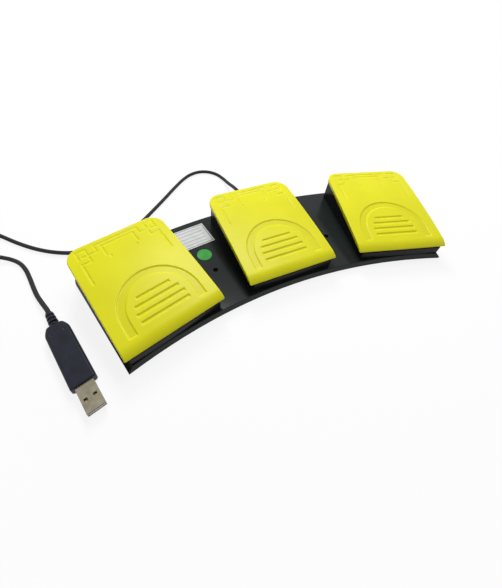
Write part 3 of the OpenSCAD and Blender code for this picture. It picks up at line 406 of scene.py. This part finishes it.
def whiteFloor(s):
    # one flat sheet, part white paper and part glow to the eye; the paper's share, which takes the
    # shadow, fades out away from the object, and under the base there is paper alone
    half = s["floorHalf"]
    corners = [(-half, -half, 0), (half, -half, 0), (half, half, 0), (-half, half, 0)]
    mesh = bpy.data.meshes.new("studioFloor")
    mesh.from_pydata(corners, [], [(0, 1, 2, 3)])
    finish, tree, shader = newFinish("floorPaper")
    shader.inputs["Base Color"].default_value = s["paper"]
    shader.inputs["Roughness"].default_value = s["paperRough"]
    shader.inputs["Specular IOR Level"].default_value = 0.0
    white = addNode(tree, "Emission", {"Color": (1, 1, 1, 1), "Strength": 1.0})
    place = addNode(tree, "TexCoord").outputs["Object"]
    away = addNode(tree, "VectorMath", operation="LENGTH")
    tree.links.new(place, away.inputs[0])
    glow = addNode(tree, "MapRange", {"From Min": s["glowReach"][0], "From Max": s["glowReach"][1],
                                      "To Min": s["floorGlow"], "To Max": 1.0})
    tree.links.new(away.outputs["Value"], glow.inputs["Value"])
    inOpen = mathNode(tree, "SUBTRACT", 1.0, underBase(tree, s["underBase"], place))
    openGlow = mathNode(tree, "MULTIPLY", glow.outputs["Result"], inOpen)
    share = mathNode(tree, "MULTIPLY", openGlow, seenDirectly(tree))
    blend = addNode(tree, "MixShader")
    tree.links.new(share, blend.inputs["Fac"])
    tree.links.new(shader.outputs["BSDF"], blend.inputs[1])
    tree.links.new(white.outputs["Emission"], blend.inputs[2])
    tree.links.new(blend.outputs["Shader"], tree.nodes["Material Output"].inputs["Surface"])
    mesh.materials.append(finish)
    floor = bpy.data.objects.new("studioFloor", mesh)
    scene.collection.objects.link(floor)


photoCamera(cameraSettings)
whiteWorld(lightSettings)
for name, lamp in lightSettings["lamps"].items():
    softBox(name, lamp)
whiteFloor(lightSettings)
dressSolids()
print("stage 2: camera, light and finishes")

# Cord: straight out of the strain relief, over the floor to a coil, and back to the plug
cordSettings = dict(
    diameter=0.0036, sides=14, coilAt=(-0.266, 0.106), innerRadius=0.0146, turns=2.25, step=0.0047,
    rise=0.0042, layers=4, lowZ=0.0028, stepAngle=7.5, routeSteps=4,
    lead=[(0.004, 0.07392, 0.0127), (0.004, 0.082, 0.0124), (0.0042, 0.092, 0.0104),
          (0.0046, 0.102, 0.0071), (0.005, 0.112, 0.0042), (0.0046, 0.122, 0.0024),
          (0.0015, 0.1325, 0.0019), (-0.0055, 0.1405, 0.0019), (-0.0155, 0.1445, 0.0019),
          (-0.027, 0.143, 0.0019), (-0.0385, 0.1365, 0.0019), (-0.052, 0.125, 0.0019),
          (-0.068, 0.110, 0.0019), (-0.085, 0.0945, 0.0019), (-0.101, 0.0805, 0.0019),
          (-0.116, 0.070, 0.0019), (-0.132, 0.063, 0.0019), (-0.149, 0.0605, 0.0019),
          (-0.166, 0.0625, 0.0019), (-0.182, 0.0695, 0.0019), (-0.197, 0.080, 0.0019),
          (-0.211, 0.093, 0.0019), (-0.224, 0.107, 0.0019), (-0.237, 0.1205, 0.0023),
          (-0.250, 0.129, 0.0028), (-0.2624, 0.131175, 0.0028)],
    tail=[(-0.2624, 0.080825, 0.0154), (-0.252, 0.0808, 0.0149), (-0.242, 0.0806, 0.0116),
          (-0.232, 0.0796, 0.0072), (-0.223, 0.077, 0.0038), (-0.215, 0.0725, 0.0022),
          (-0.2085, 0.0655, 0.0019), (-0.204, 0.056, 0.0019), (-0.201, 0.045, 0.0019),
          (-0.1985, 0.034, 0.0020), (-0.1958, 0.024, 0.0026), (-0.192, 0.014, 0.0037),
          (-0.1892, 0.0072, 0.0042), (-0.188, 0.003, 0.00425)])


def coilPath(s):
    # spirals in and out again layer by layer, climbing in the half turn where the spiral reverses
    wind = 360 * s["turns"]
    whole = s["layers"] * wind + (s["layers"] - 1) * 180
    angle = np.arange(0, whole + s["stepAngle"] / 2, s["stepAngle"])
    layer = np.floor(angle / (wind + 180))
    inside = angle - layer * (wind + 180)
    share = np.minimum(inside / wind, 1) * s["turns"] * s["step"]
    outer = s["innerRadius"] + s["turns"] * s["step"]
    radius = np.where(layer % 2 == 0, outer - share, s["innerRadius"] + share)
    climb = smoothStep((inside - wind) / 180)
    height = s["lowZ"] + s["rise"] * (layer + climb)
    turn = np.radians(angle + 90)
    x = s["coilAt"][0] + radius * np.cos(turn)
    y = s["coilAt"][1] + radius * np.sin(turn)
    return np.stack([x, y, height], axis=-1)


def makeCord(s):
    # lead, coil and tail as one tube
    lead, tail = (smoothRoute(s[part], s["routeSteps"]) for part in ("lead", "tail"))
    path = np.concatenate([lead, coilPath(s), tail])
    points, faces = tubeSurface(path, s["diameter"] / 2, s["sides"])
    cord = makePiece("cord", points, faces, finishes["rubber"], "base",
                     ("cord_lead", "cord_coil", "cord_tail"))
    return cord, path


cord, cordPath = makeCord(cordSettings)
print("stage 3: cord")

# Pedal covers: a thin moulded shell whose top is a height field with the sunk lines worked in
coverSettings = dict(
    rearSlope=math.radians(5.2), crownRadius=0.800, rollStart=0.008, rollRadius=0.018,
    lip=0.0005, skirtRear=0.0022, wall=0.002, topEdge=0.0007, underEdge=0.0002,
    edgeShare=0.8, footShare=0.1, underGap=0.00005, sharpAngle=60,
    frontCorner=0.001, leastCorner=0.0003, rearCorner=0.012,
    columns=240, frontRows=8, sideRows=232, rearRows=40,
    edgeSteps=5, coarse=4, sinkDepth=0.0006, sinkSoft=0.0005,
    archMiddle=0.020, archRadius=0.0285, archHalfBand=0.003, archFoot=0.010,
    firstBar=0.015, barStep=0.006, bars=4, barHalf=0.001, barReach=0.0195,
    dimple=(0.011, 0.0755), dimpleRadius=0.001,
    fretCorner=(0.0326, 0.0913), fretCell=0.008, fretHalf=0.0008, fretShare=0.55,
    fretRuns=[[(4.075, 0), (1.8, 0), (1.8, 0.8), (0.35, 0.8)],
              [(0.9, 0.8), (0.9, 0), (0, 0), (0, 0.95)],
              [(0.9, 1.15), (0.9, 1.6), (0, 1.6), (0, 4)],
              [(4.075, 0.4), (2.4, 0.4), (2.4, 1.6)]])
padWidth = coverHigh[0] - coverLow[0]
padLength = coverHigh[1] - coverLow[1]
padRearZ = coverHigh[2]


def padHeight(s, v, inset=0.0):
    # a long crown arc from the rear edge, then a tighter roll arc, tangent to it, down to the lip
    crownV = padLength + s["crownRadius"] * math.sin(s["rearSlope"])
    crownZ = padRearZ - s["crownRadius"] * math.cos(s["rearSlope"])
    lean = math.asin((crownV - s["rollStart"]) / s["crownRadius"])
    rollV = s["rollStart"] + s["rollRadius"] * math.sin(lean)
    rollZ = crownZ + (s["crownRadius"] - s["rollRadius"]) * math.cos(lean)
    onRoll = v < s["rollStart"] + inset * math.sin(lean)
    radius = np.where(onRoll, s["rollRadius"], s["crownRadius"]) - inset
    behind = v - np.where(onRoll, rollV, crownV)
    return np.where(onRoll, rollZ, crownZ) + np.sqrt(radius ** 2 - behind ** 2)


def rimHeight(s, v):
    # the skirt's lower edge: a straight line from the lip to the rear
    lipZ = padHeight(s, 0.0) - s["lip"]
    return lipZ + v * (padRearZ - s["skirtRear"] - lipZ) / padLength


def padGrid(s, inset):
    # rows from lip to rear and columns from left to right, narrowed over the corner arcs
    half = padWidth / 2 - inset
    front = max(s["frontCorner"] - inset, s["leastCorner"])
    rear = s["rearCorner"] - inset
    frontTurn = np.linspace(0, math.pi / 2, s["frontRows"], endpoint=False)
    rearTurn = np.linspace(0, math.pi / 2, s["rearRows"] + 1)
    rearStart = padLength - inset - rear
    side = np.linspace(inset + front, rearStart, s["sideRows"], endpoint=False)
    v = np.concatenate([inset + front * (1 - np.cos(frontTurn)), side,
                        rearStart + rear * np.sin(rearTurn)])
    reach = np.concatenate([half - front * (1 - np.sin(frontTurn)), np.full(len(side), half),
                            half - rear * (1 - np.cos(rearTurn))])
    u = reach[:, None] * np.linspace(-1, 1, s["columns"] + 1)
    return u, np.broadcast_to(v[:, None], u.shape)


def sunkAt(s, u, v):
    # 1 in the arch and bars, less in fret and dimples, 0 elsewhere, by signed distance to the nearest edge
    across = np.abs(u)
    behind = v - s["archMiddle"]
    fromArch = np.abs(np.where(behind > 0, np.hypot(u, behind), across) - s["archRadius"])
    arch = np.maximum(fromArch - s["archHalfBand"], s["archFoot"] - v)
    fret = np.hypot(across - s["dimple"][0], v - s["dimple"][1]) - s["dimpleRadius"]
    for barV in s["firstBar"] + s["barStep"] * np.arange(s["bars"]):
        past = max(barV + s["barHalf"] - s["archMiddle"], 0)
        reach = math.sqrt(s["barReach"] ** 2 - past ** 2)
        arch = np.minimum(arch, np.maximum(across - reach, np.abs(v - barV) - s["barHalf"]))
    for run in s["fretRuns"]:
        corners = np.array(s["fretCorner"]) - s["fretCell"] * np.array(run)
        for start, end in zip(corners[:-1], corners[1:]):
            middle = (start + end) / 2
            half = np.abs(end - start) / 2 + s["fretHalf"]
            line = np.maximum(np.abs(across - middle[0]) - half[0], np.abs(v - middle[1]) - half[1])
            fret = np.minimum(fret, line)
    inArch, inFret = (smoothStep(0.5 - gap / (2 * s["sinkSoft"])) for gap in (arch, fret))
    return np.maximum(inArch, s["fretShare"] * inFret)


def border(grid):
    # a grid's edge, counter-clockwise: front row, right column, rear row, left column
    return np.concatenate([grid[0, :-1], grid[:-1, -1], grid[-1, :0:-1], grid[:0:-1, 0]])


def coverShell(s):
    # top grid, rounded edge, skirt and rim ring by ring, then a coarse underside at the wall's depth
    u, v = padGrid(s, s["topEdge"])
    sunk = sunkAt(s, u, v)
    top = np.stack([u, v, padHeight(s, v) - s["sinkDepth"] * sunk], axis=-1)
    rings = []
    for turn in np.linspace(0, math.pi / 2, s["edgeSteps"] + 1)[1:]:
        ringU, ringV = (border(part) for part in padGrid(s, s["topEdge"] * (1 - math.sin(turn))))
        topZ = padHeight(s, ringV)
        drop = np.minimum(s["topEdge"], s["edgeShare"] * (topZ - rimHeight(s, ringV)))
        rings.append(np.stack([ringU, ringV, topZ - drop * (1 - math.cos(turn))], axis=-1))
    for inset, share in ((0.0, 1), (s["underEdge"], 0), (s["wall"], 0)):
        ringU, ringV = (border(part) for part in padGrid(s, inset))
        rimZ = rimHeight(s, ringV)
        foot = np.minimum(s["underEdge"], s["footShare"] * (padHeight(s, ringV) - rimZ))
        rings.append(np.stack([ringU, ringV, rimZ + share * foot], axis=-1))
    step = s["coarse"]
    underU, underV = (part[::step, ::step] for part in padGrid(s, s["wall"]))
    underZ = np.maximum(padHeight(s, underV, s["wall"]), rimHeight(s, underV) + s["underGap"])
    under = np.stack([underU, underV, underZ], axis=-1)

    topIndex = np.arange(u.size).reshape(u.shape)
    loops = [border(topIndex)]
    loops += [u.size + k * len(loops[0]) + np.arange(len(loops[0])) for k in range(len(rings))]
    underIndex = loops[-1][-1] + 1 + np.arange(underU.size).reshape(underU.shape)
    faces = gridFaces(*u.shape).tolist()
    for upper, lower in zip(loops[:-1], loops[1:]):
        faces += np.stack([upper, lower, np.roll(lower, -1), np.roll(upper, -1)], axis=-1).tolist()
    inner = border(underIndex)
    steps = [np.roll(loops[-1], -k)[::step] for k in range(step, 0, -1)]
    faces += np.stack([loops[-1][::step], inner, np.roll(inner, -1)] + steps, axis=-1).tolist()
    faces += (underIndex[0, 0] + gridFaces(*underU.shape)[:, ::-1]).tolist()
    points = np.concatenate([top.reshape(-1, 3)] + rings + [under.reshape(-1, 3)])
    shade = np.concatenate([sunk.ravel(), np.zeros(len(points) - sunk.size)])
    return points, faces, shade


def makeCovers(s):
    # one shell, turned to each pedal's place, with its sunk share as an attribute, which the yellow finish reads for
    # painted shade
    points, faces, shade = coverShell(s)
    for side, k in layout["sides"].items():
        cover = makePiece(side + "Cover", onPedal(k, points), faces, finishes["yellow_cover"],
                          side + "_pedal", (side + "_pedal_cover",), s["sharpAngle"])
        cover.data.attributes.new("relief", "FLOAT", "POINT").data.foreach_set("value", shade)


makeCovers(coverSettings)
print("stage 4: covers")

# Return springs: round wire with a closed turn at each end, shortened by the pedal
springSettings = dict(wire=0.0005, turns=6, closed=0.0016, steps=30, sides=10)


def makeSprings(s):
    # a helix in the solid's own box, turned by its pedal's fan angle
    for side, k in layout["sides"].items():
        low, high = (np.array(corner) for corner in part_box(side + "_return_spring"))
        middle = (low + high) / 2
        radius = (high[0] - low[0]) / 2 - s["wire"]
        turn = np.linspace(0, s["turns"], s["turns"] * s["steps"] + 1)
        climb = high[2] - low[2] - 2 * s["wire"]
        height = np.interp(turn, [0, 1, s["turns"] - 1, s["turns"]],
                           [0, s["closed"], climb - s["closed"], climb])
        angle = 2 * math.pi * turn - layout["fanAngle"] * k
        path = np.stack([middle[0] + radius * np.cos(angle), middle[1] + radius * np.sin(angle),
                         low[2] + s["wire"] + height], axis=-1)
        points, faces = tubeSurface(path, s["wire"], s["sides"])
        spring = makePiece(side + "Spring", points, faces, finishes["steel"], "base",
                           (side + "_return_spring",))
        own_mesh(spring)


makeSprings(springSettings)
print("stage 5: springs")

# Plug and strain relief
plugSettings = dict(
    place=(-0.188, 0.003, 0.00425), heading=math.radians(-74), bootLength=0.014, bootRows=141, bootSides=36,
    ribs=4, core=0.0024, firstRib=0.0029, lastRib=0.0038,
    length=0.052, halfWidth=0.0085, halfNeck=0.0055, shoulder=0.008, halfThick=0.00425, edge=0.0018,
    endRound=0.0012, rows=220, across=60, corner=8,
    dimple=(0.0085, 0.0045), dimpleRadius=0.0010, dimpleReach=1.3, dimpleDepth=0.0004)
reliefSettings = dict(
    core=0.0026, firstRib=0.0040, lastRib=0.0027, ribs=5, sides=36, rows=161, flange=0.0042,
    flangeLength=0.0015, neck=0.00345, wall=0.0022, collar=0.0043, collarLength=0.002, edge=0.0003)
ribForm = dict(rise=0.26, fall=1.02, flank=0.16)     # shares of the step from rib to rib


def ribRadius(s, along):
    # rounded ribs on a core, each a plateau with soft flanks, growing or shrinking along the length
    length, flank = along[-1], ribForm["flank"]
    phase = along / length * s["ribs"] % 1
    plateau = smoothStep((phase - ribForm["rise"]) / flank) * smoothStep((ribForm["fall"] - phase) / flank)
    rib = s["firstRib"] + (s["lastRib"] - s["firstRib"]) * along / length
    return s["core"] + (rib - s["core"]) * plateau


def onPlug(s, points):
    # turned to the plug's heading and set down at its cord end
    x, y = points[..., 0], points[..., 1]
    cosine, sine = math.cos(s["heading"]), math.sin(s["heading"])
    turned = np.stack([cosine * x - sine * y, sine * x + cosine * y, points[..., 2]], axis=-1)
    return turned + np.array(s["place"])


def plugBody(s):
    # a rounded rectangle carried along the plug, narrow at the neck, rounded off at both ends
    corner = np.linspace(0, math.pi / 2, s["corner"] + 1)
    flat = np.linspace(1, -1, s["across"])[1:-1]
    one, level = np.ones(len(corner)), np.ones(len(flat))
    share = np.concatenate([one, flat, -one, -one, one])
    upper = np.concatenate([one, level, one, -one, -one])
    turn = np.concatenate([corner, level * math.pi / 2, corner + math.pi / 2, corner + math.pi,
                           corner + 1.5 * math.pi])
    ends = s["endRound"] * (1 - np.cos(corner))
    x = np.concatenate([ends, np.linspace(s["endRound"], s["length"] - s["endRound"], s["rows"])[1:-1],
                        s["length"] - ends[::-1]])
    fromEnd = np.minimum(np.minimum(x, s["length"] - x) / s["endRound"], 1)
    pulled = s["endRound"] * (1 - np.sqrt(1 - (1 - fromEnd) ** 2))
    grow = np.sin(math.pi / 2 * np.minimum(x / s["shoulder"], 1))
    half = (s["halfNeck"] + (s["halfWidth"] - s["halfNeck"]) * grow - pulled)[:, None]
    thick = (s["halfThick"] - pulled)[:, None]
    edge = np.minimum(s["edge"], thick)
    y = share * (half - edge) + edge * np.cos(turn)
    z = upper * (thick - edge) + edge * np.sin(turn)
    far = np.hypot(x[:, None] - s["dimple"][0], np.abs(y) - s["dimple"][1])
    sunk = s["dimpleDepth"] * smoothStep(s["dimpleReach"] - far / s["dimpleRadius"])
    z = z - np.where(z > 0, sunk, 0)
    points = np.stack([np.broadcast_to(x[:, None] + s["bootLength"], y.shape), y, z], axis=-1)
    return points, tubeFaces(len(x), len(turn))


def plugBoot(s):
    # a straight tube whose radius follows the ribs
    along = np.linspace(0, s["bootLength"], s["bootRows"])
    path = np.stack([along, np.zeros_like(along), np.zeros_like(along)], axis=-1)
    return tubeSurface(path, ribRadius(s, along), s["bootSides"])


def makePlug(s):
    # the two moulded pieces; the metal shell and what is in it are the solids themselves
    pieces = []
    for name, node, shape in (("plugBody", "plug_body", plugBody), ("plugBoot", "plug_boot", plugBoot)):
        points, faces = shape(s)
        pieces.append(makePiece(name, onPlug(s, points), faces, finishes["plug_plastic"], "base",
                                (node,)))
    return pieces


def makeStrainRelief(s):
    # a flange inside the wall, a neck through it, a collar outside, then shrinking ribs
    low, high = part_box("cable_gland")
    middle = (low[0] + high[0]) / 2
    height = (low[2] + high[2]) / 2
    start, edge = low[1], s["edge"]
    flangeEnd = start + s["flangeLength"]
    collarStart = flangeEnd + s["wall"]
    ribStart = collarStart + s["collarLength"]
    along = np.linspace(0, high[1] - ribStart, s["rows"])
    steps = [start, start + edge, flangeEnd - edge, flangeEnd, flangeEnd, collarStart, collarStart,
             collarStart + edge, ribStart - edge]
    radii = [s["flange"] - edge, s["flange"], s["flange"], s["flange"] - edge, s["neck"], s["neck"],
             s["collar"] - edge, s["collar"], s["collar"]]
    y = np.concatenate([steps, ribStart + along])
    radius = np.concatenate([radii, ribRadius(s, along)])[:, None]
    turn = np.linspace(0, 2 * math.pi, s["sides"], endpoint=False)
    x = middle - radius * np.cos(turn)
    z = height + radius * np.sin(turn)
    points = np.stack([x, np.broadcast_to(y[:, None], x.shape), z], axis=-1)
    return makePiece("strainRelief", points, tubeFaces(len(y), s["sides"]), finishes["rubber"], "base",
                     ("cable_gland",))


plugPieces = makePlug(plugSettings)
strainRelief = makeStrainRelief(reliefSettings)
print("stage 6: plug and strain relief")

# Base: each rear corner is rounded in plan, by an arc that meets the end and the rear smoothly
cornerSettings = dict(
    radius=0.010,
    end=0.0413, rearRadius=0.490,    # from an end pedal's middle line, and from the arc's centre
    steps=16, spare=0.006, heights=(-0.002, 0.012))


def cornerBlocks(s):
    # what both square corners have outside their arcs, as two upright prisms in one mesh
    middleU = s["end"] - s["radius"]
    fromArc = math.sqrt((s["rearRadius"] - s["radius"]) ** 2 - middleU ** 2)
    turn = np.linspace(0, math.atan2(fromArc, middleU), s["steps"])
    ray = np.stack([np.cos(turn), np.sin(turn)], axis=-1)
    middle = np.array([middleU, fromArc - layout["lipRadius"]])
    outer = s["radius"] + s["spare"]
    outline = np.concatenate([middle + s["radius"] * ray, middle + outer * ray[::-1]])
    count = len(outline)
    prism = np.concatenate([np.column_stack([outline, np.full(count, z)]) for z in s["heights"]])
    points = np.concatenate([onPedal(k, prism * (k, 1, 1)) for k in (-1, 1)])
    faces = tubeFaces(2, count)
    faces += [[corner + len(prism) for corner in face] for face in faces]
    mesh = bpy.data.meshes.new("cornerBlocks")
    mesh.from_pydata(points.tolist(), [], faces)
    work = bmesh.new()
    work.from_mesh(mesh)
    bmesh.ops.recalc_face_normals(work, faces=work.faces)
    work.to_mesh(mesh)
    work.free()
    return mesh


def withoutBlocks(mesh, blocks):
    # the mesh less the blocks; the two helper objects are taken away again
    cutter = bpy.data.objects.new("cornerBlocks", blocks)
    solid = bpy.data.objects.new("squareBase", mesh)
    for helper in (cutter, solid):
        scene.collection.objects.link(helper)
    cut = solid.modifiers.new("corners", "BOOLEAN")
    cut.operation = "DIFFERENCE"
    cut.solver = "EXACT"
    cut.object = cutter
    made = bpy.data.meshes.new_from_object(solid.evaluated_get(bpy.context.evaluated_depsgraph_get()))
    for helper in (cutter, solid):
        bpy.data.objects.remove(helper)
    return made


# Rigid pieces whose shape is right get small rounds on their hard edges
softSettings = dict(
    nodes=("left_housing", "middle_housing", "right_housing", "base_deck"),
    width=0.0003, steps=2, mergeGap=1e-6, flatAngle=0.5)


def softenedCopy(node, s):
    # a merged copy of the solid's mesh, its flat faces joined, under a small bevel
    mesh = frame["nodes"][node].data.copy()
    work = bmesh.new()
    work.from_mesh(mesh)
    bmesh.ops.remove_doubles(work, verts=work.verts, dist=s["mergeGap"])
    if node == "base_deck":
        work.to_mesh(mesh)
        mesh = withoutBlocks(mesh, cornerBlocks(cornerSettings))
        work.clear()
        work.from_mesh(mesh)
    bmesh.ops.dissolve_limit(work, angle_limit=math.radians(s["flatAngle"]), verts=work.verts,
                             edges=work.edges)
    work.to_mesh(mesh)
    work.free()
    words = node.split("_")
    name = words[0] + "".join(word.capitalize() for word in words[1:])
    piece = finishPiece(name, mesh, "base", (node,), hardEdge)
    bevel = piece.modifiers.new("softEdges", "BEVEL")
    bevel.width = s["width"]
    bevel.segments = s["steps"]
    bevel.limit_method = "ANGLE"
    bevel.angle_limit = math.radians(hardEdge)
    bevel.use_clamp_overlap = False


for node in softSettings["nodes"]:
    softenedCopy(node, softSettings)
print("stage 7: base corners and soft edges")
